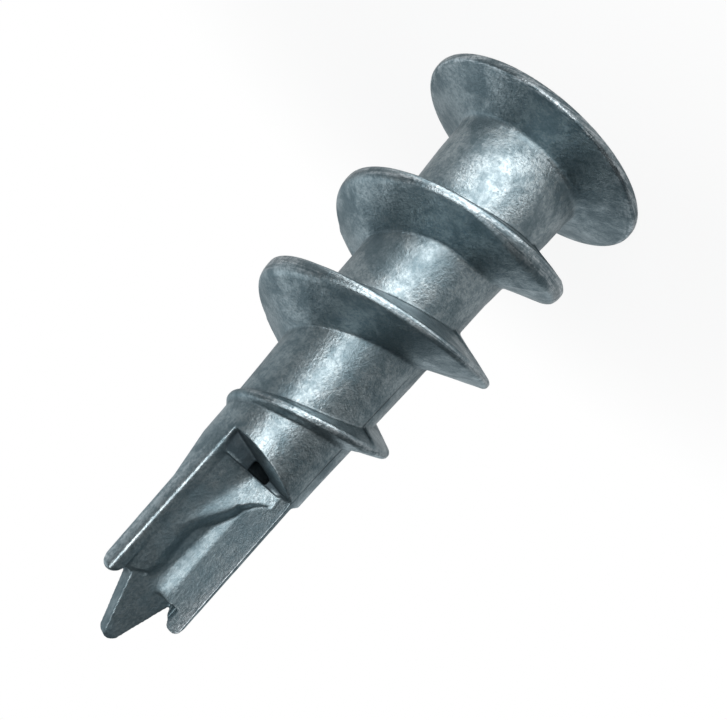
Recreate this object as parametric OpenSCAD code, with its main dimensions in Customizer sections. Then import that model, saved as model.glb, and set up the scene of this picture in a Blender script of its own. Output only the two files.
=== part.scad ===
// Self-drilling drywall anchor, one cast piece.
// Millimetres. It stands on the outer face of its head, +Z runs to the drilling point,
// +X runs to one parting seam, and the die halves draw along +Y and -Y.

/* [Head] */
// diameter of the head
head_d = 13.2; // [9:0.1:20]
// straight height of the head's rim
rim_h = 0.34; // [0.2:0.02:1.5]
// height at which the underside of the head meets the collar
head_h = 1.24; // [0.8:0.02:3]
// distance across the tips of the driver cross
cross_d = 5.9; // [4.2:0.1:7]
// width of one slot of the driver cross
cross_w = 1.3; // [0.8:0.05:2]
// depth of the driver cross
cross_depth = 3.2; // [1:0.1:5]

/* [Body] */
// whole length, outer face to point
length = 32; // [26:0.5:45]
// diameter of the body under the head
body_d_head = 7.46; // [5:0.02:9]
// diameter of the body above the window
body_d_tip = 5.94; // [4.6:0.02:7]
// diameter of the screw bore
bore_d = 3.6; // [2.8:0.1:4.4]
// depth of the round wall that the screw cuts its thread in
bore_wall = 20.2; // [12:0.1:21]
// diameter of the bore's narrower end
nose_d = 3.1; // [2:0.1:3.5]
// depth where the bore's narrower end opens between the prongs
bore_depth = 21.9; // [18:0.1:25]

/* [Thread] */
// lead of the single right-handed thread
pitch = 5.95; // [3:0.05:8]
// radius of the full crest
crest_r = 6.12; // [5:0.02:8]
// height of the crest where the turn passes the +X seam for the first time
crest_z0 = 5.52; // [4:0.02:8]
// half width of the flat band on the crest
crest_half = 0.2; // [0.05:0.01:0.5]
// how far the fin's foot reaches toward the head
foot_up = 1.16; // [0.5:0.02:2]
// how far the fin's foot reaches toward the point
foot_down = 1.34; // [0.5:0.02:2]

// share of the die's release that the flanks show at the seams
relief = 0.4; // [0:0.05:1]

/* [Fork] */
// height of the window's top edge
window_z = 20.75; // [19:0.05:25]
// place of the window's side edge, left of the axis
window_x = -0.35; // [-1:0.05:0]
// radius of the window's corner at the seam
window_corner = 1.0; // [0.4:0.05:1.4]
// height at which the web between the prongs ends
web_end = 28.9; // [27:0.05:31]
// height of the prong ends
prong_end = 29.75; // [28:0.05:31.5]
// distance of a prong's outer flat from the axis
flat_d = 2.55; // [2.2:0.01:2.9]
// distance of a prong's inner side from the axis
prong_in = 1.44; // [1:0.02:2]
// direction of a prong's outer flat
flat_angle = 145; // [120:1:160]

// direction the ramp under the bore looks in
ramp_angle = 62; // [50:1:75]
// distance of the ramp from the axis where the bore ends
ramp_d = 1.01; // [0.7:0.01:1.4]

/* [Blade] */
// direction the blade's broad face looks in
blade_angle = 31; // [15:1:50]
// half thickness of the blade at the web's end
blade_half = 0.56; // [0.3:0.01:0.9]
// half width of the blade at the web's end
blade_width = 1.4; // [0.9:0.02:1.9]
// radius of the rounded point
point_r = 0.42; // [0.2:0.02:0.8]

/* [Smoothness] */
// facets round the large circles
facets = 120; // [48:4:160]
// angle between two sections of the thread
thread_step = 4; // [3:1:15]

/* [Hidden] */
eps = 0.01;
far = 20;
head_r = head_d / 2;
lead = pitch / 360;
body_r0 = body_d_head / 2;
body_r1 = body_d_tip / 2;
down_slope = (foot_down - crest_half) / (crest_r - 3.25);
up_slope = (foot_up - crest_half) / (crest_r - 3.25);
turn_first = -162;
turn_last = 894;

// radius of the tapered body at height z
function body_r(z) = lookup(z, [
    [1.2, body_r0], [3.3, body_r0 - 0.05], [7.6, body_r1 + 0.40],
    [13.5, body_r1 + 0.28], [18.9, body_r1 + 0.06], [20.5, body_r1],
    [22, body_r1 - 0.03], [32, body_r1 - 0.03]]);

// height of the fin over the axis at turn angle a, fading in at the head and out at the fork
function fin_r(a) = lookup(a, [
    [-162, 3.62], [-130, 4.12], [-100, 4.75], [-60, 5.55], [-25, 5.95], [0, 6.08],
    [30, crest_r], [500, crest_r], [560, 5.75], [620, 5.25], [695, 4.56],
    [760, 3.85], [820, 3.45], [865, 3.23], [894, 2.90]]);

// rise of the crest at turn angle a
function crest_z(a) = crest_z0 + lead * a;

// The halves of the die can only let go if no flank leans under itself along Y.
// Near the seams the flank runs straight along Y instead: straight_angle is where that starts.
function straight_angle(x, k) =
    let (c = lead * 57.2958 / k)
    asin(min(1, max(0, (-x + sqrt(x * x + 4 * c * c)) / (2 * c))));

// lower flank, as height over the crest's middle, at radius r and turn angle a
function flank_down(r, a, top) =
    let (
        s = a - 180 * floor(a / 180),
        x = r * cos(s),
        b = straight_angle(x, down_slope),
        q = min(b, acos(min(1, x / top))),
        rr = x / cos(q),
        plain = crest_half + down_slope * (top - r))
    plain + (s < q ? relief * (lead * (q - s) + down_slope * (r - rr)) : 0);

// upper flank, same measure
function flank_up(r, a, top) =
    let (
        s = 180 * ceil(a / 180) - a,
        x = r * cos(s),
        b = straight_angle(x, up_slope),
        q = min(b, acos(min(1, x / top))),
        rr = x / cos(q),
        plain = crest_half + up_slope * (top - r))
    -plain - (s < q ? relief * (lead * (q - s) + up_slope * (r - rr)) : 0);

// one section of the fin: radius and height pairs, inner foot first, head side first
function fin_section(a) =
    let (
        top = fin_r(a),
        root = body_r(crest_z(a)) - 0.22,
        k = (top - root) / 3,
        soft = min(0.1, (top - root) * 0.3))
    [
        [root, flank_up(root, a, top)],
        [root + k, flank_up(root + k, a, top)],
        [root + 2 * k, flank_up(root + 2 * k, a, top)],
        [top - soft, flank_up(top - soft, a, top) + 0.02],
        [top, -crest_half * 0.5],
        [top, crest_half * 0.5],
        [top - soft, flank_down(top - soft, a, top) - 0.02],
        [root + 2 * k, flank_down(root + 2 * k, a, top)],
        [root + k, flank_down(root + k, a, top)],
        [root, flank_down(root, a, top)]];

// angles of the sections, with a close pair at every seam so the step there stays sharp
function turn_angles() = [
    for (a = [turn_first : thread_step : turn_last])
        each (a - 180 * floor(a / 180) == 0 ? [a - 0.4, a + 0.001] : [a])];

module thread() {
    angles = turn_angles();
    n = len(angles);
    m = 10;
    points = [
        for (i = [0 : n - 1])
            each [
                for (p = fin_section(angles[i]))
                    [p[0] * cos(angles[i]), p[0] * sin(angles[i]),
                     crest_z(angles[i]) + p[1]]]];
    sides = [
        for (i = [0 : n - 2], j = [0 : m - 1])
            each [
                [i * m + j, i * m + (j + 1) % m, (i + 1) * m + j],
                [i * m + (j + 1) % m, (i + 1) * m + (j + 1) % m, (i + 1) * m + j]]];
    last = (n - 1) * m;
    start = [
        for (j = [0 : m / 2 - 2])
            each [[j + 1, j, m - 1 - j], [j + 1, m - 1 - j, m - 2 - j]]];
    end = [
        for (j = [0 : m / 2 - 2])
            each [
                [last + j, last + j + 1, last + m - 1 - j],
                [last + j + 1, last + m - 2 - j, last + m - 1 - j]]];
    polyhedron(points = points, faces = concat(sides, start, end), convexity = 12);
}

// head, collar and body as one turned form
module shank() {
    rotate_extrude($fn = facets)
        polygon([
            [0, 0],
            [head_r - 0.1, 0],
            [head_r - 0.03, 0.03],
            [head_r, 0.1],
            [head_r, rim_h],
            [head_r - 0.03, rim_h + 0.07],
            [head_r - 0.1, rim_h + 0.12],
            [body_r0 + 0.3, head_h - 0.04],
            [body_r0 + 0.14, head_h + 0.02],
            [body_r0 + 0.04, head_h + 0.13],
            [body_r0, head_h + 0.3],
            [body_r(3.3), 3.3],
            [body_r(7.6), 7.6],
            [body_r(13.5), 13.5],
            [body_r(18.9), 18.9],
            [body_r(20.5), 20.5],
            [body_r(22), 22],
            [body_r(32), prong_end],
            [0, prong_end]]);
}

// driver cross: two slots with sloping ends, blind, round the mouth of the bore
module driver_cross() {
    for (a = [0, 90])
        rotate([90, 0, a + 45])
            linear_extrude(height = cross_w, center = true)
                polygon([
                    [-cross_d / 2, -eps], [cross_d / 2, -eps],
                    [bore_d / 2 - 0.1, cross_depth], [0.1 - bore_d / 2, cross_depth]]);
}

module bore() {
    translate([0, 0, -eps])
        cylinder(d = bore_d, h = bore_wall + eps, $fn = 96);
    cylinder(d = nose_d, h = bore_depth, $fn = 72);
    translate([0, 0, -eps])
        cylinder(d1 = bore_d + 0.9, d2 = bore_d, h = 0.5, $fn = 96);
}

// plate of the XZ outline given as points, reaching from y0 outward
module drawn(points, y0) {
    translate([0, far, 0])
        rotate([90, 0, 0])
            linear_extrude(height = far - y0, convexity = 6)
                polygon(points);
}

// outline of the window seen along the draw direction
module window_outline() {
    drawn(concat(
        [[window_x, window_z], [2.05, window_z]],
        [for (a = [80 : -10 : 0])
            [2.05 + window_corner * cos(a), window_z + window_corner * (1 - sin(a))]],
        [[far, window_z + window_corner], [far, 40], [window_x, 40]]), 0);
}

// the mouth of the window, with the leaning wall the bore breaks through
module window_mouth() {
    intersection() {
        window_outline();
        translate([-1, 0, 0])
            rotate([90, 0, 90])
                linear_extrude(height = far)
                    polygon([
                        [0, window_z + 1.0], [far, window_z - 5.9],
                        [far, bore_depth + 0.3], [0, bore_depth + 0.3]]);
        linear_extrude(height = 60)
            polygon([
                [window_x - 0.06, far], [window_x, 2.97], [-0.28, 2.62],
                [0.48, 1.79], [0.9, 1.2], [1.5, 0.5], [2.3, 0.12], [3.2, 0], [far, 0],
                [far, far]]);
    }
}

// flat beside the spur, in the parting plane
module seam_flat() {
    drawn([
        [far, window_z + window_corner + 0.05], [2.2, window_z + window_corner + 0.05],
        [2.19, 22.5], [1.6, 22.98], [1.21, 23.45], [1.21, 40], [far, 40]], 0);
}

// pocket over the blade, bounded by the curved edge of the ramp
module blade_pocket() {
    intersection() {
        drawn([
            [2.3, 22.4], [2.18, 22.5], [1.85, 22.72], [1.56, 22.98], [1.3, 23.45],
            [1.1, 23.94], [0.93, 24.32], [0.78, 24.65], [0.55, 25.12], [0.42, 25.4],
            [0.34, 25.75], [0.31, 26.2], [0.31, 27.2], [0.36, 27.8], [0.2, 28.4],
            [-0.3, 28.8], [-1.2, 29.2], [-1.2, 40], [far, 40], [far, 22.4]], -1);
        rotate([90, 0, blade_angle])
            translate([0, 0, -far / 2])
                linear_extrude(height = far)
                    polygon([
                        [0.80, 22], [blade_half, web_end], [0.42, 32], [far, 32], [far, 22]]);
        linear_extrude(height = 60)
            polygon([
                [window_x - 0.06, far], [window_x, 2.97], [-0.18, 2.27], [-0.95, 1.17],
                [0.1, 0.62], [0.84, 0.14], [1.22, 0], [far, 0], [far, far]]);
    }
}

// broad inner side of a prong, and the ramp that turns a long screw outward
module prong_side() {
    intersection() {
        rotate([90, 0, blade_angle])
            translate([0, 0, -far / 2])
                linear_extrude(height = far)
                    polygon([
                        [1.02, bore_depth - 0.2], [1.02, 27.2], [0.92, 28], [0.78, 28.6],
                        [blade_half, web_end], [0.42, 32], [far, 32],
                        [far, bore_depth - 0.2]]);
        rotate([90, 0, ramp_angle])
            translate([0, 0, -far / 2])
                linear_extrude(height = far)
                    polygon([
                        [ramp_d, bore_depth], [ramp_d + 0.62, bore_depth + 4],
                        [ramp_d - 0.4, bore_depth + 4.01], [-2, 30], [-2, 40], [far, 40],
                        [far, bore_depth]]);
        linear_extrude(height = 60)
            polygon([
                [window_x - 0.06, far], [window_x, 2.97], [-0.18, 2.27], [-0.95, 1.17],
                [0.3, 0], [far, 0], [far, far]]);
    }
}

// bevel on the inner corner of a spur
module spur_bevel() {
    translate([0, 0, web_end - 0.1])
        linear_extrude(height = 4)
            polygon([[1.62, 0.2], [2.26, 0.2], [2.16, 0], [1.62, -0.62]]);
}

// everything the front half of the die takes away
module front_draw() {
    window_mouth();
    seam_flat();
    blade_pocket();
    prong_side();
    spur_bevel();
}

// outer flat of a prong; run_out is the height at which it reaches its full depth
module outer_flat(run_out) {
    rotate([90, 0, flat_angle])
        translate([0, 0, -far / 2])
            linear_extrude(height = far)
                polygon([
                    [body_r1, 21.6], [flat_d + 0.04, run_out], [flat_d - 0.04, web_end],
                    [flat_d - 0.05, 40], [far, 40], [far, 21.6]]);
}

// rounded end of a prong as a bar; it reaches further at the seam than at the window
module prong_tip() {
    rotate([0, 0, flat_angle])
        translate([0, 0, prong_end - 0.15])
            rotate([6.5, 0, 0])
                rotate([90, 0, 0])
                    linear_extrude(height = far, center = true)
                        polygon([
                            [prong_in - 0.02, -2], [prong_in, -0.55],
                            [prong_in + 0.12, -0.26], [prong_in + 0.3, -0.09],
                            [prong_in + 0.48, -0.01], [prong_in + 0.66, -0.01],
                            [prong_in + 0.84, -0.09], [prong_in + 0.98, -0.24],
                            [flat_d - 0.05, -0.5], [flat_d, -0.9], [flat_d + 0.2, -2]]);
}

// all that goes beyond the web's end, round the two prong ends
module end_cut() {
    difference() {
        translate([-far / 2, -far / 2, web_end])
            cube([far, far, 10]);
        for (a = [0, 180])
            rotate([0, 0, a])
                prong_tip();
    }
}

// the blade with its drilling point
module blade() {
    tip = length - point_r;
    rotate([0, 0, blade_angle])
        intersection() {
            rotate([90, 0, 90])
                linear_extrude(height = far, center = true)
                    union() {
                        polygon([
                            [-2.4, 20.2], [2.4, 20.2], [2.4, bore_depth + 0.2],
                            [blade_width, bore_depth + 1],
                            [blade_width, web_end], [point_r, tip + 0.05],
                            [-point_r, tip + 0.05], [-blade_width, web_end],
                            [-blade_width, bore_depth + 1], [-2.4, bore_depth + 0.2]]);
                        translate([0, tip])
                            circle(r = point_r, $fn = 36);
                    }
            rotate([90, 0, 0])
                linear_extrude(height = far, center = true)
                    polygon([
                        [-0.12, 20.3], [0.12, 20.3], [1.0, bore_depth - 0.1],
                        [0.8, bore_depth + 0.4], [blade_half, web_end],
                        [0.42, 31.7], [0.3, length], [-0.3, length], [-0.42, 31.7],
                        [-blade_half, web_end], [-0.8, bore_depth + 0.4],
                        [-1.0, bore_depth - 0.1]]);
            cylinder(r = body_r1 - 0.2, h = 40, $fn = 48);
        }
}

module anchor() {
    color([0.60, 0.63, 0.66])
        union() {
            difference() {
                union() {
                    shank();
                    thread();
                }
                bore();
                driver_cross();
                front_draw();
                rotate([0, 0, 180])
                    front_draw();
                outer_flat(24.3);
                rotate([0, 0, 180])
                    outer_flat(21.9);
                end_cut();
            }
            blade();
        }
}

anchor();
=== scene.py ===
"""Self-drilling drywall anchor: the cast zinc part, dressed and lit."""

from __future__ import annotations

import logging
import math
from dataclasses import dataclass
from enum import Enum

import bpy
import numpy as np
from mathutils import Matrix, Vector


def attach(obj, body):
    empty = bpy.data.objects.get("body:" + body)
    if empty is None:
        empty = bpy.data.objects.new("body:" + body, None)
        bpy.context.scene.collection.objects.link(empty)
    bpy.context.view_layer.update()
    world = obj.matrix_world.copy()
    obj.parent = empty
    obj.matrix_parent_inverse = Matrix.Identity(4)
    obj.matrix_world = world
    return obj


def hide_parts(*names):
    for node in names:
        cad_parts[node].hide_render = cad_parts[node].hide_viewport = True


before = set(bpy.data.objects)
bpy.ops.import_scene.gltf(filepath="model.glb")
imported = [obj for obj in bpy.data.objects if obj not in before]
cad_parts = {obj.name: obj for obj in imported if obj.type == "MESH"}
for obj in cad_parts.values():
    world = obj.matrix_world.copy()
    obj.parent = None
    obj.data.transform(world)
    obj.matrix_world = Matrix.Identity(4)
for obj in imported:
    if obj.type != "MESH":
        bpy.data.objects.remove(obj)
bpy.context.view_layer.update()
LOG = logging.getLogger("anchor")
MM = 0.001
IMAGE_WIDTH = 727
FULL_TURN = 360.0
SHARE_LEVELS = 10
TINY = 1e-6
WHITE = (1.0, 1.0, 1.0, 1.0)

Socket = bpy.types.NodeSocket
Span = tuple[float, float]
Triple = tuple[float, float, float]


class Ray(Enum):
    """The kinds of ray that see the bright background."""

    CAMERA = "Is Camera Ray"
    GLOSSY = "Is Glossy Ray"
    TRANSMISSION = "Is Transmission Ray"


def deselect_all() -> None:
    """Leaves nothing selected, so an operator acts only on what is picked next."""
    if bpy.context.object and bpy.context.object.mode != "OBJECT":
        bpy.ops.object.mode_set(mode="OBJECT")
    bpy.ops.object.select_all(action="DESELECT")


def pick(obj: bpy.types.Object) -> None:
    """Selects one object alone and makes it active.

    Args:
        obj: The object that the next operator works on.
    """
    deselect_all()
    obj.select_set(True)
    bpy.context.view_layer.objects.active = obj


def place_in_scene(obj: bpy.types.Object) -> bpy.types.Object:
    """Links a new object to the scene.

    Args:
        obj: The object.

    Returns:
        The same object.
    """
    bpy.context.scene.collection.objects.link(obj)
    return obj


def smooth_step(value: np.ndarray, low: float, high: float) -> np.ndarray:
    """Rises smoothly from 0 to 1 between two values.

    Args:
        value: The values to map.
        low: Where the rise starts.
        high: Where it ends.

    Returns:
        One share per value.
    """
    share = np.clip((value - low) / (high - low), 0, 1)
    return share * share * (3 - 2 * share)


def toward(azimuth: float, elevation: float) -> Triple:
    """Turns two angles in degrees into a direction.

    Args:
        azimuth: The angle round Z, from +X.
        elevation: The angle above the floor.

    Returns:
        A direction of length 1.
    """
    turn, rise = math.radians(azimuth), math.radians(elevation)
    return (math.cos(rise) * math.cos(turn), math.cos(rise) * math.sin(turn), math.sin(rise))


@dataclass(frozen=True)
class Noise:
    """One noise texture: features in a metre, octaves, roughness and warp."""

    scale: float
    detail: float
    rough: float
    warp: float = 0.0


class NodeSheet:
    """A small helper that adds and joins the nodes of one tree."""

    def __init__(self, tree: bpy.types.NodeTree) -> None:
        """Keeps the tree that nodes are added to."""
        self.tree = tree

    @classmethod
    def cleared(cls, owner: bpy.types.Material | bpy.types.World) -> NodeSheet:
        """Empties the nodes of a material or a world.

        Args:
            owner: What the tree belongs to.

        Returns:
            A helper for the empty tree.
        """
        owner.use_nodes = True
        owner.node_tree.nodes.clear()
        return cls(owner.node_tree)

    def add(self, kind: str, **inputs: object) -> bpy.types.Node:
        """Adds a node and sets its plain inputs.

        Args:
            kind: The node's type name.
            inputs: Values by socket name, with spaces written as underscores.

        Returns:
            The new node.
        """
        node = self.tree.nodes.new(kind)
        for name, value in inputs.items():
            node.inputs[name.replace("_", " ")].default_value = value
        return node

    def join(self, source: Socket, target: Socket) -> None:
        """Links two sockets."""
        self.tree.links.new(source, target)

    def feed(self, source: object, target: Socket) -> None:
        """Links a socket to another, or sets the other to a plain number.

        Args:
            source: A socket or a number.
            target: The socket that takes it.
        """
        if isinstance(source, (int, float)):
            target.default_value = source
        else:
            self.join(source, target)

    def maths(self, operation: str, first: object, second: object = 0.0,
              clamp: bool = False) -> Socket:
        """Adds one Math node.

        Args:
            operation: The Math node's operation.
            first: A socket or a number.
            second: A socket or a number.
            clamp: Whether the result stays between 0 and 1.

        Returns:
            The result's socket.
        """
        node = self.add("ShaderNodeMath")
        node.operation = operation
        node.use_clamp = clamp
        self.feed(first, node.inputs[0])
        self.feed(second, node.inputs[1])
        return node.outputs[0]

    def weighted(self, *terms: tuple[Socket, float]) -> Socket:
        """Adds up sockets, each times its weight.

        Args:
            terms: Pairs of a socket and its weight.

        Returns:
            The sum.
        """
        parts = [self.maths("MULTIPLY", source, weight) for source, weight in terms]
        total = parts[0]
        for part in parts[1:]:
            total = self.maths("ADD", total, part)
        return total

    def ramp(self, value: Socket, low: float, high: float, out_low: float = 0.0,
             out_high: float = 1.0) -> Socket:
        """Maps a range smoothly onto another.

        Args:
            value: The socket to map.
            low: Where the mapping starts.
            high: Where it ends.
            out_low: What the start becomes.
            out_high: What the end becomes.

        Returns:
            The mapped socket.
        """
        node = self.add("ShaderNodeMapRange")
        node.interpolation_type = "SMOOTHSTEP"
        self.join(value, node.inputs["Value"])
        for name, number in (("From Min", low), ("From Max", high),
                             ("To Min", out_low), ("To Max", out_high)):
            node.inputs[name].default_value = number
        return node.outputs["Result"]

    def noise(self, vector: Socket, kind: Noise) -> Socket:
        """Adds one noise texture.

        Args:
            vector: Where the noise is looked up.
            kind: What it looks like.

        Returns:
            The noise, between 0 and 1.
        """
        node = self.add("ShaderNodeTexNoise", Scale=kind.scale, Detail=kind.detail,
                        Roughness=kind.rough, Distortion=kind.warp)
        self.join(vector, node.inputs["Vector"])
        return node.outputs["Fac"]

    def blend(self, first: object, second: object, share: Socket) -> Socket:
        """Mixes two colours.

        Args:
            first: A colour or a socket, seen where the share is 0.
            second: A colour or a socket, seen where the share is 1.
            share: The mask.

        Returns:
            The mixed colour.
        """
        node = self.add("ShaderNodeMix")
        node.data_type = "RGBA"
        share_in, first_in, second_in = node.inputs[0], node.inputs[6], node.inputs[7]
        for socket, value in ((first_in, first), (second_in, second)):
            if isinstance(value, tuple):
                socket.default_value = (*value, 1.0)
            else:
                self.join(value, socket)
        self.join(share, share_in)
        return node.outputs[2]

    def finish(self, output: str, plain: bpy.types.Node, bright: bpy.types.Node,
               share: Socket) -> None:
        """Mixes two shaders and sends them to the tree's output.

        Args:
            output: The output node's type name.
            plain: The shader seen where the share is 0.
            bright: The shader seen where the share is 1.
            share: The mask.
        """
        mixed = self.add("ShaderNodeMixShader")
        self.join(share, mixed.inputs[0])
        self.join(plain.outputs[0], mixed.inputs[1])
        self.join(bright.outputs[0], mixed.inputs[2])
        self.join(mixed.outputs[0], self.add(output).inputs["Surface"])

    def seen_by(self, *rays: Ray) -> Socket:
        """Adds up kinds of ray.

        Args:
            rays: The kinds of ray.

        Returns:
            A mask, 1 for those rays.
        """
        path = self.add("ShaderNodeLightPath")
        mask = path.outputs[rays[0].value]
        for ray in rays[1:]:
            mask = self.maths("ADD", mask, path.outputs[ray.value], clamp=True)
        return mask


class MaskGroup:
    """A node group that takes a place on the object and puts out masks or heights."""

    name = ""

    def fill(self, sheet: NodeSheet, place: Socket) -> dict[str, Socket]:
        """Adds the group's own nodes.

        Args:
            sheet: The group's tree.
            place: The place on the object, in metres.

        Returns:
            The outputs by name.
        """
        raise NotImplementedError

    def use(self, sheet: NodeSheet, place: Socket) -> dict[str, Socket]:
        """Builds the group and adds it to a tree.

        Args:
            sheet: The tree that uses the group.
            place: The place on the object there.

        Returns:
            The group's outputs by name.
        """
        group = bpy.data.node_groups.new(self.name, "ShaderNodeTree")
        group.interface.new_socket("Vector", in_out="INPUT", socket_type="NodeSocketVector")
        inner = NodeSheet(group)
        source = inner.add("NodeGroupInput")
        results = self.fill(inner, source.outputs["Vector"])
        for label in results:
            group.interface.new_socket(label, in_out="OUTPUT", socket_type="NodeSocketFloat")
        target = inner.add("NodeGroupOutput")
        for label, result in results.items():
            inner.join(result, target.inputs[label])
        node = sheet.add("ShaderNodeGroup")
        node.node_tree = group
        sheet.join(place, node.inputs["Vector"])
        return {label: node.outputs[label] for label in results}


@dataclass(frozen=True)
class CastSkin(MaskGroup):
    """The skin of a cast surface: fine grain, flow marks and cloudy patches."""

    name: str = "cast_skin"
    grain: Noise = Noise(8500.0, 3.0, 0.65)
    grain_height: float = 1.5
    pebble: Noise = Noise(3200.0, 4.0, 0.6)
    pebble_height: float = 1.8
    flow: Noise = Noise(800.0, 3.0, 0.5, 0.8)
    flow_height: float = 1.2
    cloud: Noise = Noise(520.0, 6.0, 0.66, 0.35)
    cloud_span: Span = (0.38, 0.64)
    fine_grit: Noise = Noise(7000.0, 2.0, 0.6)
    fine_share: float = 0.55
    coarse_grit: Noise = Noise(2600.0, 3.0, 0.6)
    grit_span: Span = (0.40, 0.62)

    def fill(self, sheet: NodeSheet, place: Socket) -> dict[str, Socket]:
        """Adds the group's own nodes.

        Args:
            sheet: The group's tree.
            place: The place on the object, in metres.

        Returns:
            The outputs by name.
        """
        height = sheet.weighted((sheet.noise(place, self.grain), self.grain_height),
                                (sheet.noise(place, self.pebble), self.pebble_height),
                                (sheet.noise(place, self.flow), self.flow_height))
        grit = sheet.weighted((sheet.noise(place, self.fine_grit), self.fine_share),
                              (sheet.noise(place, self.coarse_grit), 1.0 - self.fine_share))
        return {"Height": height,
                "Cloud": sheet.ramp(sheet.noise(place, self.cloud), *self.cloud_span),
                "Speck": sheet.ramp(grit, *self.grit_span)}


@dataclass(frozen=True)
class ThreadStreaks(MaskGroup):
    """Fine streaks that run round the axis with the rise of the thread, up to the fork."""

    name: str = "thread_streaks"
    pitch: float = 5.95 * MM
    stretch: float = 0.5 * MM
    lines: Noise = Noise(6500.0, 2.0, 0.6)
    lines_span: Span = (0.40, 0.60)
    fork_span: Span = (20.8 * MM, 21.6 * MM)

    def fill(self, sheet: NodeSheet, place: Socket) -> dict[str, Socket]:
        """Adds the group's own nodes.

        Args:
            sheet: The group's tree.
            place: The place on the object, in metres.

        Returns:
            The outputs by name.
        """
        split = sheet.add("ShaderNodeSeparateXYZ")
        sheet.join(place, split.inputs[0])
        x, y, z = split.outputs
        turn = sheet.maths("ARCTAN2", y, x)
        rise = sheet.maths("MULTIPLY", turn, self.pitch / (2 * math.pi))
        level = sheet.add("ShaderNodeCombineXYZ")
        sheet.join(x, level.inputs["X"])
        sheet.join(y, level.inputs["Y"])
        radius = sheet.add("ShaderNodeVectorMath")
        radius.operation = "LENGTH"
        sheet.join(level.outputs[0], radius.inputs[0])
        along = sheet.add("ShaderNodeCombineXYZ")
        sheet.join(sheet.maths("MULTIPLY", turn, self.stretch), along.inputs["X"])
        sheet.join(sheet.maths("SUBTRACT", z, rise), along.inputs["Y"])
        sheet.join(radius.outputs["Value"], along.inputs["Z"])
        lines = sheet.ramp(sheet.noise(along.outputs[0], self.lines), *self.lines_span)
        return {"Streak": sheet.maths("MAXIMUM", lines, sheet.ramp(z, *self.fork_span))}


@dataclass(frozen=True)
class PartingLine(MaskGroup):
    """The fine line that the die leaves on the shank in its parting plane, Y = 0."""

    name: str = "parting_line"
    width: float = 0.1 * MM
    wander: Noise = Noise(700.0, 2.0, 0.5)
    sway: float = 0.03 * MM
    inner_span: Span = (2.9 * MM, 3.0 * MM)
    outer_span: Span = (3.8 * MM, 4.0 * MM)
    start_span: Span = (12.5 * MM, 15.0 * MM)

    def fill(self, sheet: NodeSheet, place: Socket) -> dict[str, Socket]:
        """Adds the group's own nodes.

        Args:
            sheet: The group's tree.
            place: The place on the object, in metres.

        Returns:
            The outputs by name.
        """
        split = sheet.add("ShaderNodeSeparateXYZ")
        sheet.join(place, split.inputs[0])
        x, y, z = split.outputs
        middle = sheet.maths("SUBTRACT", sheet.noise(place, self.wander), 0.5)
        away = sheet.maths("ABSOLUTE", sheet.maths(
            "ADD", y, sheet.maths("MULTIPLY", middle, self.sway)))
        near = sheet.maths("SUBTRACT", 1.0, sheet.maths("DIVIDE", away, self.width), clamp=True)
        out = sheet.maths("ABSOLUTE", x)
        band = sheet.maths("MULTIPLY", sheet.ramp(out, *self.inner_span),
                           sheet.ramp(out, *self.outer_span, 1.0, 0.0))
        band = sheet.maths("MULTIPLY", band, sheet.ramp(z, *self.start_span))
        return {"Line": sheet.maths("MULTIPLY", near, band)}


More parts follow.
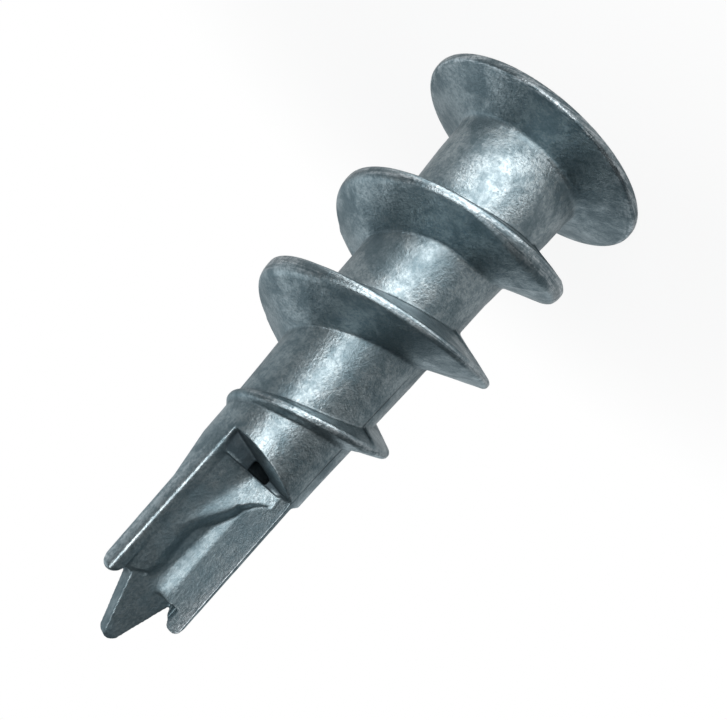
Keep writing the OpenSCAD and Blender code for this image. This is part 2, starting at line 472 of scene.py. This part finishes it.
@dataclass(frozen=True)
class CastZinc:
    """The finish of the cast metal. Shares say how far a mask moves a colour or a roughness."""

    base: Triple = (0.38, 0.435, 0.455)
    # Darker tone for clouds and specks, and also painted shade inside the fork.
    dull_and_shade: Triple = (0.105, 0.155, 0.178)
    # Bright tone on edges, the rim and the crest: partly rubbing, partly painted highlight.
    worn_and_highlight: Triple = (0.74, 0.77, 0.79)
    # Dark tone for streaks on edges and the parting line, and for painted shade in hollows and the
    # bore.
    dark_marks_and_shade: Triple = (0.035, 0.05, 0.06)
    cloud_share: float = 0.75
    speck_share: float = 0.55
    # How far the fork's inside is darkened, partly a duller skin and partly painted shade.
    pocket_dull_and_shade_share: float = 0.5
    wear_gaps: float = 0.75
    furrow_share: float = 0.5
    seam_share: float = 0.8
    # How far hollows and the bore are darkened as painted shade.
    hollow_shade_share: float = 0.85
    roughness: float = 0.31
    cloud_rough: float = 0.12
    worn_rough: float = -0.10
    hollow_rough: float = 0.25
    pocket_rough: float = 0.13
    bump: float = 0.03 * MM
    bump_strength: float = 0.5
    skin: CastSkin = CastSkin()
    streaks: ThreadStreaks = ThreadStreaks()
    seam: PartingLine = PartingLine()

    def build(self) -> bpy.types.Material:
        """Makes the material.

        Returns:
            The zinc material, on Object coordinates and the piece's form colours.
        """
        material = bpy.data.materials.new("cast_zinc")
        sheet = NodeSheet.cleared(material)
        output = sheet.add("ShaderNodeOutputMaterial")
        shader = sheet.add("ShaderNodeBsdfPrincipled", Metallic=1.0, IOR=1.5)
        sheet.join(shader.outputs[0], output.inputs["Surface"])
        place = sheet.add("ShaderNodeTexCoord").outputs["Object"]
        masks = self.skin.use(sheet, place)
        masks |= self.streaks.use(sheet, place) | self.seam.use(sheet, place)
        masks |= self.form_masks(sheet)
        # Edges, rim and crest get a patchy bright tone, partly rubbing and partly painted
        # highlight.
        patchy = sheet.maths("SUBTRACT", 1.0,
                             sheet.maths("MULTIPLY", masks["Speck"], self.wear_gaps))
        masks["Rubbed"] = sheet.maths("MULTIPLY", masks["Edge"], patchy, clamp=True)
        sheet.join(self.colour(sheet, masks), shader.inputs["Base Color"])
        sheet.join(self.rough(sheet, masks), shader.inputs["Roughness"])
        sheet.join(self.relief(sheet, masks), shader.inputs["Normal"])
        return material

    @staticmethod
    def form_masks(sheet: NodeSheet) -> dict[str, Socket]:
        """Reads the masks that the piece carries as a colour attribute.

        Args:
            sheet: The material's tree.

        Returns:
            The masks of edges, of hollows and of the fork's inside: rubbing with painted
            highlight, painted shade, and a duller tone with painted shade.
        """
        form = sheet.add("ShaderNodeAttribute")
        form.attribute_name = "form"
        split = sheet.add("ShaderNodeSeparateColor")
        sheet.join(form.outputs["Color"], split.inputs[0])
        return dict(zip(("Edge", "HollowShade", "Pocket"), split.outputs))

    def colour(self, sheet: NodeSheet, masks: dict[str, Socket]) -> Socket:
        """Lays the tones over each other, from clouds to painted shade in hollows, with painted
        highlight on edges and painted shade inside the fork.

        Args:
            sheet: The material's tree.
            masks: The masks by name.

        Returns:
            The base colour.
        """
        furrow = sheet.maths("MULTIPLY", masks["Edge"],
                             sheet.maths("SUBTRACT", 1.0, masks["Streak"]))
        ridge = sheet.maths("MULTIPLY", masks["Rubbed"], masks["Streak"])
        layers = ((self.dull_and_shade, masks["Cloud"], self.cloud_share),
                  (self.dull_and_shade, masks["Speck"], self.speck_share),
                  # Inside the fork: partly a duller skin, partly painted shade.
                  (self.dull_and_shade, masks["Pocket"], self.pocket_dull_and_shade_share),
                  # Painted highlight along edges, rim and crest, partly real rubbing.
                  (self.worn_and_highlight, ridge, 1.0),
                  (self.dark_marks_and_shade, furrow, self.furrow_share),
                  (self.dark_marks_and_shade, masks["Line"], self.seam_share),
                  # Painted shade: hollows and the bore are darkened toward the dark tone.
                  (self.dark_marks_and_shade, masks["HollowShade"], self.hollow_shade_share))
        result: object = self.base
        for tone, mask, share in layers:
            result = sheet.blend(result, tone, sheet.maths("MULTIPLY", mask, share, clamp=True))
        return result

    def rough(self, sheet: NodeSheet, masks: dict[str, Socket]) -> Socket:
        """Makes rubbed edges glossier, and clouds, hollows and pockets duller.

        Args:
            sheet: The material's tree.
            masks: The masks by name.

        Returns:
            The roughness.
        """
        change = sheet.weighted((masks["Cloud"], self.cloud_rough),
                                (masks["Rubbed"], self.worn_rough),
                                (masks["HollowShade"], self.hollow_rough),
                                (masks["Pocket"], self.pocket_rough))
        return sheet.maths("ADD", self.roughness, change, clamp=True)

    def relief(self, sheet: NodeSheet, masks: dict[str, Socket]) -> Socket:
        """Raises the grain of the skin and sinks the parting line.

        Args:
            sheet: The material's tree.
            masks: The masks by name.

        Returns:
            The normal.
        """
        height = sheet.maths("SUBTRACT", masks["Height"], masks["Line"])
        bump = sheet.add("ShaderNodeBump", Strength=self.bump_strength, Distance=self.bump)
        sheet.join(height, bump.inputs["Height"])
        return bump.outputs["Normal"]


@dataclass(frozen=True)
class Lobe:
    """One lobe of the thread at the parting plane, in millimetres.

    side is 1 at -X and -1 at +X, and turns counts the pitches from the first crossing. lift is how
    far its tip side moves toward the tip, and drop how far its head side moves toward the head.
    """

    side: int
    turns: float
    lift: float
    drop: float


@dataclass(frozen=True)
class LobeShape:
    """Where the lobes of the thread rise, in millimetres and degrees.

    Seen from the front, the lift climbs between climb_x and crease_x, reaches crease_share of its
    height at that crease and the rest at the crest's far end, and fades out over back_fade behind.
    """

    pitch: float = 5.95
    crest_start: float = 5.52
    crest_r: float = 6.1
    climb_x: float = 3.0
    crease_x: float = -0.9
    crease_share: float = 0.6
    back_fade: Span = (205, 255)
    crest_span: Span = (-0.1, 0.35)
    tip_span: Span = (1.9, 3.9)
    head_span: Span = (1.3, 2.9)
    lobes: tuple[Lobe, ...] = (
        Lobe(-1, -0.5, 0.5, 0.0), Lobe(1, 0, 0.34, 0.12), Lobe(1, 1, 0.55, 0.26))

    def move(self, place: np.ndarray, lobe: Lobe) -> np.ndarray:
        """Works out how far each point moves along the axis for one lobe.

        Args:
            place: One row per point, in millimetres.
            lobe: The lobe.

        Returns:
            One distance per point, positive toward the tip.
        """
        x, y = lobe.side * place[:, 0], lobe.side * place[:, 1]
        turn = np.degrees(np.arctan2(y, x)) % FULL_TURN
        behind = (1 - smooth_step(turn, *self.back_fade)) * (turn < self.back_fade[1])
        climb = np.clip((self.climb_x - x) / (self.climb_x - self.crease_x), 0, 1) ** 2
        reach = np.clip((self.crease_x - x) / (self.crest_r + self.crease_x), 0, 1)
        lift = lobe.lift * (self.crease_share * climb + (1 - self.crease_share) * reach)
        above = place[:, 2] - self.crest_start - self.pitch * (turn / FULL_TURN + lobe.turns)
        tip_half = smooth_step(above, *self.crest_span)
        tip_side = tip_half * (1 - smooth_step(above, *self.tip_span))
        head_side = (1 - tip_half) * (1 - smooth_step(-above, *self.head_span))
        return (lift * tip_side - lobe.drop * reach * head_side) * np.where(y >= 0, 1.0, behind)


class Skin:
    """A mesh's points with their normals and neighbours, in millimetres."""

    def __init__(self, mesh: bpy.types.Mesh) -> None:
        """Reads the mesh.

        Args:
            mesh: The piece's mesh.
        """
        self.place = self.read(mesh.vertices, "co") / MM
        self.normal = self.read(mesh.vertex_normals, "vector")
        self.radius = np.hypot(self.place[:, 0], self.place[:, 1])
        ends = np.empty(len(mesh.edges) * 2, dtype=np.int64)
        mesh.edges.foreach_get("vertices", ends)
        self.ends = ends.reshape(-1, 2)
        neighbours = np.bincount(ends, minlength=len(self.place))
        self.neighbours = np.maximum(neighbours, 1).reshape(-1, 1)

    @staticmethod
    def read(rows: bpy.types.bpy_prop_collection, name: str) -> np.ndarray:
        """Reads one vector of each row.

        Args:
            rows: The mesh's rows.
            name: The vector's name.

        Returns:
            One row of three numbers each.
        """
        values = np.empty(len(rows) * 3)
        rows.foreach_get(name, values)
        return values.reshape(-1, 3)

    def relax(self, values: np.ndarray, rounds: int) -> np.ndarray:
        """Averages each point's values with its neighbours'.

        Args:
            values: One row per point.
            rounds: How often.

        Returns:
            The averaged values.
        """
        for _ in range(rounds):
            total = np.zeros_like(values)
            np.add.at(total, self.ends[:, 0], values[self.ends[:, 1]])
            np.add.at(total, self.ends[:, 1], values[self.ends[:, 0]])
            values = 0.5 * values + 0.5 * total / self.neighbours
        return values

    def proud(self, rounds: int) -> np.ndarray:
        """Says how far each point stands out of its smoothed surroundings.

        Args:
            rounds: How far the surroundings reach.

        Returns:
            One distance per point, negative in hollows.
        """
        return ((self.place - self.relax(self.place, rounds)) * self.normal).sum(1)


@dataclass(frozen=True)
class WearAndPaintedLight:
    """Where the casting is rubbed and painted with highlight, where shade is painted in hollows
    and the bore, and where the fork's inside is painted darker as shade, in millimetres.
    """

    edge_rounds: int = 4
    edge_start: float = 0.012
    edge_span: float = 0.03
    rim_r: float = 6.42
    rim_top: float = 0.75
    rim_share: float = 0.55
    crest_facing: Span = (0.85, 0.97)
    crest_height: float = 0.4
    crest_share: float = 0.5
    head_top: float = 2.5
    hollow_rounds: int = 30
    hollow_start: float = 0.03
    hollow_span: float = 0.3
    hollow_most: float = 0.45
    bore_r: float = 1.86
    bore_end: float = 21.95
    bore_mouth_r: float = 2.8
    bore_mouth: Span = (18.0, 21.85)
    pocket_rise: Span = (21.9, 23.5)
    pocket_r: float = 2.84
    pocket_fade: Span = (2.2, 2.6)
    pocket_drop: float = 0.6
    blur_rounds: int = 2

    def edges(self, skin: Skin, shank: np.ndarray) -> np.ndarray:
        """Marks proud edges, the head's rim and the thread's crest, which get a bright tone:
        partly rubbing, partly painted highlight.

        Args:
            skin: The piece's skin.
            shank: The shank's radius at each point's height.

        Returns:
            One share per point.
        """
        z = skin.place[:, 2]
        edge = np.clip((skin.proud(self.edge_rounds) - self.edge_start) / self.edge_span, 0, 1)
        # The head's rim band is made bright, partly rubbing and partly painted highlight.
        rim = self.rim_share * (skin.radius > self.rim_r) * (z < self.rim_top)
        outward = (skin.normal[:, :2] * skin.place[:, :2]).sum(1) / np.maximum(skin.radius, TINY)
        thread = (skin.radius - shank > self.crest_height) * (z > self.head_top)
        crest = self.crest_share * smooth_step(outward, *self.crest_facing) * thread
        return np.maximum(np.maximum(edge, rim), crest)

    def hollows(self, skin: Skin) -> np.ndarray:
        """Marks hollow places and the inside of the bore, which get painted shade.

        Args:
            skin: The piece's skin.

        Returns:
            One share per point.
        """
        z = skin.place[:, 2]
        sunk = -skin.proud(self.hollow_rounds)
        hollow = np.clip((sunk - self.hollow_start) / self.hollow_span, 0, self.hollow_most)
        bore = (skin.radius < self.bore_r) & (z < self.bore_end) & (z > self.head_top)
        mouth = (z > self.bore_mouth[0]) & (z < self.bore_mouth[1])
        bore |= (skin.radius < self.bore_mouth_r) & mouth
        # Both shares become painted shade in the colour.
        return np.maximum(hollow, bore.astype(float))

    def pockets(self, skin: Skin) -> np.ndarray:
        """Marks the inside of the fork, which gets a darker tone: partly a duller skin, partly
        painted shade.

        Args:
            skin: The piece's skin.

        Returns:
            One share per point.
        """
        inside = smooth_step(skin.place[:, 2], *self.pocket_rise) * (skin.radius < self.pocket_r)
        return inside * (1 - self.pocket_drop * smooth_step(skin.radius, *self.pocket_fade))

    def paint(self, mesh: bpy.types.Mesh, profile: tuple[Span, ...]) -> None:
        """Writes the form colours: red on edges, for rubbing with painted highlight; green in
        hollows, for painted shade; blue inside the fork, for a duller tone with painted shade.

        Args:
            mesh: The piece's mesh.
            profile: The shank's heights and radii.
        """
        skin = Skin(mesh)
        shank = np.interp(skin.place[:, 2], *zip(*profile))
        masks = np.stack([self.edges(skin, shank), self.hollows(skin), self.pockets(skin)], 1)
        colour = np.ones((len(masks), 4))
        colour[:, :3] = skin.relax(masks, self.blur_rounds)
        layer = mesh.color_attributes.new("form", "FLOAT_COLOR", "POINT")
        layer.data.foreach_set("color", colour.ravel())


@dataclass(frozen=True)
class ForkRounding:
    """Where the casting's fork is rounder than the rest, in millimetres.

    Places are given on the front half, and the rear half has the same half a turn on. Passes are
    rounds of smoothing.
    """

    steepness: float = 1.5
    ramp_passes: int = 130
    ramp_foot: Triple = (0.74, 0.75, 21.9)
    ramp_height: float = 3.1
    ramp_lean: Span = (-0.48, 0.80)
    ramp_rise: Span = (-0.2, 1.15)
    ramp_reach: float = 1.0
    ramp_heights: Span = (21.95, 26.5)
    prong_passes: int = 80
    prong_corner: Span = (-0.38, 2.97)
    prong_reach: float = 0.75
    prong_foot: float = 21.3
    web_passes: int = 220
    web_end: Span = (0.8, 28.55)
    web_reach: Span = (1.5, 1.1)
    web_half: float = 1.0

    def fade(self, distance: np.ndarray) -> np.ndarray:
        """Falls from 1 near a place to 0 at its reach.

        Args:
            distance: The distance as a share of the reach.

        Returns:
            One share per distance.
        """
        return smooth_step(self.steepness * (1 - distance), 0, 1)

    def ramp(self, x: np.ndarray, y: np.ndarray, z: np.ndarray) -> np.ndarray:
        """Finds the ramp's leaning edge.

        Args:
            x: One number per point.
            y: One number per point.
            z: One number per point.

        Returns:
            One share per point.
        """
        rise = np.clip((z - self.ramp_foot[2]) / self.ramp_height, *self.ramp_rise)
        away = np.hypot(x - (self.ramp_foot[0] + self.ramp_lean[0] * rise),
                        y - (self.ramp_foot[1] + self.ramp_lean[1] * rise))
        low, high = self.ramp_heights
        return self.fade(away / self.ramp_reach) * ((z > low) & (z < high))

    def prong(self, x: np.ndarray, y: np.ndarray, z: np.ndarray) -> np.ndarray:
        """Finds the prong's long outer edge, as one share per point."""
        away = np.hypot(x - self.prong_corner[0], y - self.prong_corner[1])
        return self.fade(away / self.prong_reach) * (z > self.prong_foot)

    def web(self, x: np.ndarray, y: np.ndarray, z: np.ndarray) -> np.ndarray:
        """Finds the end of the web between the prongs.

        Args:
            x: One number per point.
            y: One number per point.
            z: One number per point.

        Returns:
            One share per point.
        """
        away = np.hypot((x - self.web_end[0]) / self.web_reach[0],
                        (z - self.web_end[1]) / self.web_reach[1])
        return self.fade(away) * (np.abs(y) < self.web_half)

    def places(self, place: np.ndarray) -> dict[str, tuple[np.ndarray, int]]:
        """Lists the rounder places.

        Args:
            place: One row per point, in millimetres.

        Returns:
            For each place, the share of each point and the rounds of smoothing.
        """
        front = np.where(place[:, 1] > 0, 1.0, -1.0)
        points = (place[:, 0] * front, place[:, 1] * front, place[:, 2])
        return {"ramp": (self.ramp(*points), self.ramp_passes),
                "prong_edge": (self.prong(*points), self.prong_passes),
                "web_end": (self.web(*points), self.web_passes)}


@dataclass(frozen=True)
class CastAnchor:
    """The anchor's one casting, with the soft edges that a die leaves.

    merge and voxel are in metres, the other sizes in millimetres. shank holds heights and radii.
    """

    node: str = "anchor"
    merge: float = 0.002 * MM
    voxel: float = 0.06 * MM
    passes: int = 4
    most_triangles: int = 185000
    facet_sag: float = 0.014
    under_shank: float = 0.1
    shank: tuple[Span, ...] = (
        (1.9, 3.716), (3.3, 3.68), (7.6, 3.37), (13.5, 3.25), (18.9, 3.03), (20.5, 2.97),
        (22.0, 2.94), (28.6, 2.94))
    thread: LobeShape = LobeShape()
    rounding: ForkRounding = ForkRounding()
    wear_and_painted_light: WearAndPaintedLight = WearAndPaintedLight()
    finish: CastZinc = CastZinc()

    def copy_of_solid(self) -> bpy.types.Object:
        """Copies the solid and merges its loose faces.

        Returns:
            A new object at the origin.
        """
        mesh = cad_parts[self.node].data.copy()
        mesh.materials.clear()
        piece = place_in_scene(bpy.data.objects.new("cast_anchor", mesh))
        pick(piece)
        bpy.ops.object.mode_set(mode="EDIT")
        bpy.ops.mesh.select_all(action="SELECT")
        bpy.ops.mesh.remove_doubles(threshold=self.merge)
        bpy.ops.object.mode_set(mode="OBJECT")
        return piece

    @staticmethod
    def read_points(piece: bpy.types.Object) -> np.ndarray:
        """Reads the piece's points.

        Args:
            piece: The piece.

        Returns:
            One row per point, in millimetres.
        """
        place = np.empty(len(piece.data.vertices) * 3)
        piece.data.vertices.foreach_get("co", place)
        return place.reshape(-1, 3) / MM

    @staticmethod
    def write_points(piece: bpy.types.Object, place: np.ndarray) -> None:
        """Moves the piece's points.

        Args:
            piece: The piece.
            place: One row per point, in millimetres.
        """
        piece.data.vertices.foreach_set("co", (place * MM).ravel())
        piece.data.update()

    def refine(self, piece: bpy.types.Object) -> None:
        """Gives the copy an even skin of small faces.

        Args:
            piece: The merged copy.
        """
        pick(piece)
        remesh = piece.modifiers.new("even", "REMESH")
        remesh.mode = "VOXEL"
        remesh.voxel_size = self.voxel
        bpy.ops.object.modifier_apply(modifier=remesh.name)

    def true_round(self, piece: bpy.types.Object) -> None:
        """Moves the shank's outer skin onto its turned profile, off the flats between facets.

        Args:
            piece: The refined copy.
        """
        place = self.read_points(piece)
        radius = np.hypot(place[:, 0], place[:, 1])
        target = np.interp(place[:, 2], *zip(*self.shank))
        near = (np.abs(radius - target) < self.facet_sag) & (place[:, 2] > self.shank[0][0])
        place[near, :2] *= (target[near] / radius[near])[:, None]
        self.write_points(piece, place)

    def raise_lobes(self, piece: bpy.types.Object) -> None:
        """Lifts the thread where one half of the die hands over to the other.

        Beyond the thread's foot this only slides points along the shank.

        Args:
            piece: The refined copy.
        """
        place = self.read_points(piece)
        slimmest = self.shank[-1][1] - self.under_shank
        outside = np.hypot(place[:, 0], place[:, 1]) > slimmest
        for lobe in self.thread.lobes:
            place[:, 2] += self.thread.move(place, lobe) * outside
        self.write_points(piece, place)

    @staticmethod
    def soften(piece: bpy.types.Object, name: str, passes: int,
               share: np.ndarray | None = None) -> None:
        """Rounds edges the way a well-used die does, everywhere or in one place.

        Args:
            piece: The refined copy.
            name: The place's name.
            passes: How many rounds of smoothing.
            share: How strongly each point moves, 0 to 1, or None for everywhere alike.
        """
        pick(piece)
        smooth = piece.modifiers.new(name, "SMOOTH")
        smooth.iterations = passes
        if share is not None:
            group = piece.vertex_groups.new(name=name)
            levels = np.round(share * SHARE_LEVELS).astype(int)
            for level in range(1, SHARE_LEVELS + 1):
                points = np.flatnonzero(levels == level).tolist()
                group.add(points, level / SHARE_LEVELS, "REPLACE")
            smooth.vertex_group = name
        bpy.ops.object.modifier_apply(modifier=smooth.name)
        piece.vertex_groups.clear()

    def thin(self, piece: bpy.types.Object) -> None:
        """Takes faces away where the skin is flat, and shades what is left smooth.

        Args:
            piece: The softened piece.
        """
        pick(piece)
        triangles = sum(len(face.vertices) - 2 for face in piece.data.polygons)
        if triangles > self.most_triangles:
            collapse = piece.modifiers.new("thin", "DECIMATE")
            collapse.ratio = self.most_triangles / triangles
            bpy.ops.object.modifier_apply(modifier=collapse.name)
        LOG.info("soft mesh: %d triangles of %d", len(piece.data.polygons), triangles)
        bpy.ops.object.shade_smooth()

    def build(self) -> bpy.types.Object:
        """Makes the visible casting and puts it in the solid's place.

        Returns:
            The finished piece.
        """
        piece = self.copy_of_solid()
        self.refine(piece)
        self.true_round(piece)
        self.raise_lobes(piece)
        self.soften(piece, "all", self.passes)
        rounder = self.rounding.places(self.read_points(piece))
        for name, (share, passes) in rounder.items():
            self.soften(piece, name, passes, share)
        self.thin(piece)
        self.wear_and_painted_light.paint(piece.data, self.shank)
        piece.data.materials.append(self.finish.build())
        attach(piece, "root")
        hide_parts(self.node)
        return piece


@dataclass(frozen=True)
class Card:
    """A soft patch of the room, as a direction, a reach in degrees and a level."""

    azimuth: float
    elevation: float
    reach: float
    level: float


@dataclass(frozen=True)
class Softbox:
    """A soft lamp, in degrees and millimetres. level is how bright its face is.

    A lamp that lies on the floor looks up, and any other lamp faces the anchor.
    """

    name: str
    azimuth: float
    distance: float
    height: float
    size: Span
    level: float
    lies: bool = False


@dataclass(frozen=True)
class Studio:
    """Floor, background, lamps and camera.

    The floor's sizes are in metres, the camera's in millimetres, degrees and pixels. Tones are
    colours of equal red, green and blue.
    """

    floor_radius: float = 0.4
    floor_corners: int = 96
    floor_tone: float = 0.8
    floor_mirrored: float = 0.28
    shadow_share: float = 0.10
    shadow_fade: Span = (0.008, 0.04)
    room: float = 0.08
    room_tint: Triple = (0.90, 1.0, 1.05)
    cards: tuple[Card, ...] = (
        Card(185, 5, 60, 0.65),
        Card(188, 55, 32, 0.80),
        Card(-62, -5, 45, 0.40),
        Card(75, 20, 45, 0.30),
        Card(-102, 18, 36, 0.60),
    )
    aim_height: float = 16
    lamps: tuple[Softbox, ...] = (
        Softbox("front_softbox", 74, 46, 32, (24, 62), 4.0),
        Softbox("low_reflector", 72, 37, 0.5, (22, 58), 3.3, lies=True),
        Softbox("top_softbox", 40, 150, 170, (120, 120), 0.9),
    )
    eye: Triple = (26.233, 41.982, 21.941)
    right: Triple = (0.696111, -0.303144, -0.650794)
    up: Triple = (-0.502105, 0.442345, -0.743116)
    back: Triple = (0.513147, 0.844058, 0.155711)
    roll: float = 0.246
    lens: float = 49.95
    sensor_width: float = 36.0
    shift: Span = (0.48, 1.43)
    clip: Span = (0.001, 10.0)

    def floor(self) -> bpy.types.Object:
        """Makes the pale floor, which keeps the object's shadow.

        Returns:
            The floor.
        """
        deselect_all()
        bpy.ops.mesh.primitive_circle_add(vertices=self.floor_corners, radius=self.floor_radius,
                                          fill_type="NGON", location=(0, 0, 0))
        disc = bpy.context.object
        disc.name = "floor"
        material = bpy.data.materials.new("pale_floor")
        sheet = NodeSheet.cleared(material)
        away = sheet.add("ShaderNodeVectorMath")
        away.operation = "LENGTH"
        sheet.join(sheet.add("ShaderNodeTexCoord").outputs["Object"], away.inputs[0])
        share = sheet.ramp(away.outputs["Value"], *self.shadow_fade, 1.0 - self.shadow_share)
        seen = sheet.maths("MULTIPLY", sheet.seen_by(Ray.CAMERA, Ray.TRANSMISSION), share)
        glossy = sheet.maths("MULTIPLY", sheet.seen_by(Ray.GLOSSY), self.floor_mirrored)
        matt = sheet.add("ShaderNodeBsdfDiffuse", Color=(*[self.floor_tone] * 3, 1.0))
        white = sheet.add("ShaderNodeEmission", Color=WHITE)
        sheet.finish("ShaderNodeOutputMaterial", matt, white,
                     sheet.maths("ADD", seen, glossy, clamp=True))
        disc.data.materials.append(material)
        return disc

    def world(self) -> None:
        """Sets a white background and a dimmer room that lights and mirrors in the metal."""
        world = bpy.data.worlds.new("studio")
        bpy.context.scene.world = world
        sheet = NodeSheet.cleared(world)
        direction = sheet.add("ShaderNodeTexCoord").outputs["Generated"]
        level: object = self.room
        for card in self.cards:
            level = sheet.maths("ADD", level, self.patch(sheet, direction, card))
        room = sheet.add("ShaderNodeBackground", Color=(*self.room_tint, 1.0))
        sheet.join(level, room.inputs["Strength"])
        white = sheet.add("ShaderNodeBackground", Color=WHITE)
        sheet.finish("ShaderNodeOutputWorld", room, white,
                     sheet.seen_by(Ray.CAMERA, Ray.TRANSMISSION))

    @staticmethod
    def patch(sheet: NodeSheet, direction: Socket, card: Card) -> Socket:
        """Adds one soft bright patch of the room.

        Args:
            sheet: The world's tree.
            direction: The socket that gives the direction looked in.
            card: The patch.

        Returns:
            Its level in that direction.
        """
        facing = sheet.add("ShaderNodeVectorMath")
        facing.operation = "DOT_PRODUCT"
        sheet.join(direction, facing.inputs[0])
        facing.inputs[1].default_value = toward(card.azimuth, card.elevation)
        rim = math.cos(math.radians(card.reach))
        return sheet.ramp(facing.outputs["Value"], rim, 1.0, 0.0, card.level)

    def lamp(self, box: Softbox) -> None:
        """Hangs one soft lamp, which the camera doesn't see.

        Args:
            box: The lamp.
        """
        data = bpy.data.lights.new(box.name, "AREA")
        data.shape = "RECTANGLE"
        data.size, data.size_y = (side * MM for side in box.size)
        data.energy = box.level * math.pi * data.size * data.size_y
        lamp = place_in_scene(bpy.data.objects.new(box.name, data))
        spot = Vector(toward(box.azimuth, 0)) * box.distance
        lamp.location = Vector((spot.x, spot.y, box.height)) * MM
        if box.lies:
            lamp.rotation_euler = (math.pi, 0, math.radians(box.azimuth) + math.pi / 2)
        else:
            aim = Vector((0, 0, self.aim_height)) * MM - lamp.location
            lamp.rotation_euler = aim.to_track_quat("-Z", "Y").to_euler()
        lamp.visible_camera = False

    def camera(self) -> None:
        """Places the camera."""
        data = bpy.data.cameras.new("camera")
        data.sensor_width = self.sensor_width
        data.lens = self.lens
        data.clip_start, data.clip_end = self.clip
        data.shift_x, data.shift_y = (pixels / IMAGE_WIDTH for pixels in self.shift)
        camera = place_in_scene(bpy.data.objects.new("camera", data))
        turn = Matrix((self.right, self.up, self.back)).transposed().to_4x4()
        roll = Matrix.Rotation(math.radians(self.roll), 4, "Z")
        camera.matrix_world = Matrix.Translation(Vector(self.eye) * MM) @ turn @ roll
        bpy.context.scene.camera = camera

    def build(self) -> None:
        """Sets up everything round the anchor."""
        self.floor()
        self.world()
        for box in self.lamps:
            self.lamp(box)
        self.camera()
        bpy.context.scene.view_settings.view_transform = "Standard"


def main() -> None:
    """Builds the anchor and its studio, and logs that each is built."""
    logging.basicConfig(level=logging.INFO, format="%(name)s: %(message)s")
    piece = CastAnchor().build()
    LOG.info("built %s", piece.name)
    Studio().build()
    LOG.info("built the studio")


if __name__ == "__main__":
    main()
